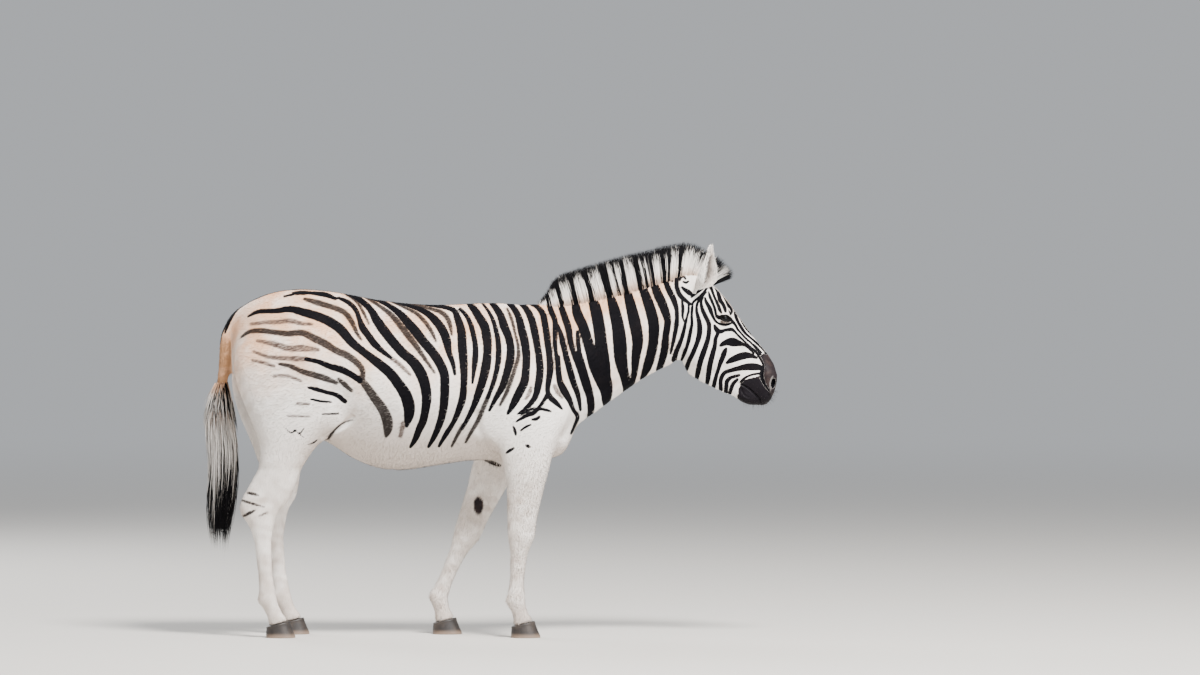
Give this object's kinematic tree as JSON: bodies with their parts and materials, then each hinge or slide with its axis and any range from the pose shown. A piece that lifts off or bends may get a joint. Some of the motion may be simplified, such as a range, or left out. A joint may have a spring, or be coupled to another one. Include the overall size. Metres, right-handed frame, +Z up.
{
  "type": "plains zebra",
  "caption": "Life-size still model of a standing plains zebra with upright striped mane, head held slightly low and a hanging tufted tail.",
  "frame": {"origin": "on the floor, under the middle of the bounding box", "axes": "+X forward, the way the animal faces; +Y to its left; +Z up"},
  "size_m": [2.2897, 0.5346, 1.5795],
  "materials": {
    "coat": "short flat striped hair, black on white to cream",
    "muzzle": "dark skin with very short hair",
    "mane": "stiff upright banded hair with dark tips",
    "tail_hair": "long loose hair, pale outside and black within",
    "hoof": "dull grey-brown horn",
    "eye": "wet dark brown"
  },
  "bodies": {
    "root": {"trunk": "coat", "neck": "coat", "head": "coat", "muzzle": "muzzle", "ear_right": "coat", "ear_left": "coat", "eye_right": "eye", "eye_left": "eye", "mane": "mane", "forelock": "mane", "tail_dock": "coat", "tail_tuft": "tail_hair", "foreleg_right_upper": "coat", "foreleg_right_lower": "coat", "foreleg_left_upper": "coat", "foreleg_left_lower": "coat", "hindleg_right_upper": "coat", "hindleg_right_lower": "coat", "hindleg_left_upper": "coat", "hindleg_left_lower": "coat", "hoof_foreleg_right": "hoof", "hoof_foreleg_left": "hoof", "hoof_hindleg_right": "hoof", "hoof_hindleg_left": "hoof"}
  },
  "joints": []
}
